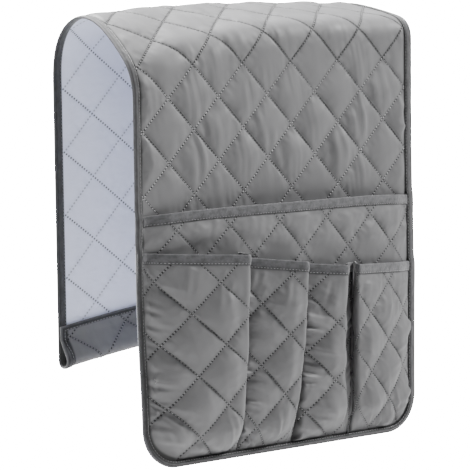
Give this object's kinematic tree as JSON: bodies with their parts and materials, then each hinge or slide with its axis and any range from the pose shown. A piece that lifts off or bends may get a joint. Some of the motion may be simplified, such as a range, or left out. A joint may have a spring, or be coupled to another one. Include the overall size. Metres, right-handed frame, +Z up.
{
  "type": "sofa armrest organizer",
  "caption": "Quilted cloth strip that saddles a sofa arm, with a wide pocket and side-folded small pockets on its front flap and a sewn casing at its back hem.",
  "frame": {"origin": "on the lining, under the crest of the arch at mid width, where the top of the sofa arm carries the strip", "axes": "+X along the sofa arm, -Y the side with the pockets, +Z up"},
  "size_m": [0.3316, 0.1613, 0.4114],
  "materials": {
    "face_cloth": "satin",
    "wadding": "matte",
    "lining_cloth": "matte",
    "tape": "matte"
  },
  "bodies": {
    "root": {"cover_face": "face_cloth", "cover_wadding": "wadding", "cover_lining": "lining_cloth", "wide_pocket_face": "face_cloth", "wide_pocket_wadding": "wadding", "wide_pocket_lining": "lining_cloth", "pocket_1_face": "face_cloth", "pocket_1_wadding": "wadding", "pocket_1_lining": "lining_cloth", "pocket_2_face": "face_cloth", "pocket_2_wadding": "wadding", "pocket_2_lining": "lining_cloth", "pocket_3_face": "face_cloth", "pocket_3_wadding": "wadding", "pocket_3_lining": "lining_cloth", "pocket_4_face": "face_cloth", "pocket_4_wadding": "wadding", "pocket_4_lining": "lining_cloth", "edge_tape": "tape", "wide_pocket_tape": "tape", "pocket_1_tape": "tape", "pocket_2_tape": "tape", "pocket_3_tape": "tape", "pocket_4_tape": "tape"}
  },
  "joints": []
}
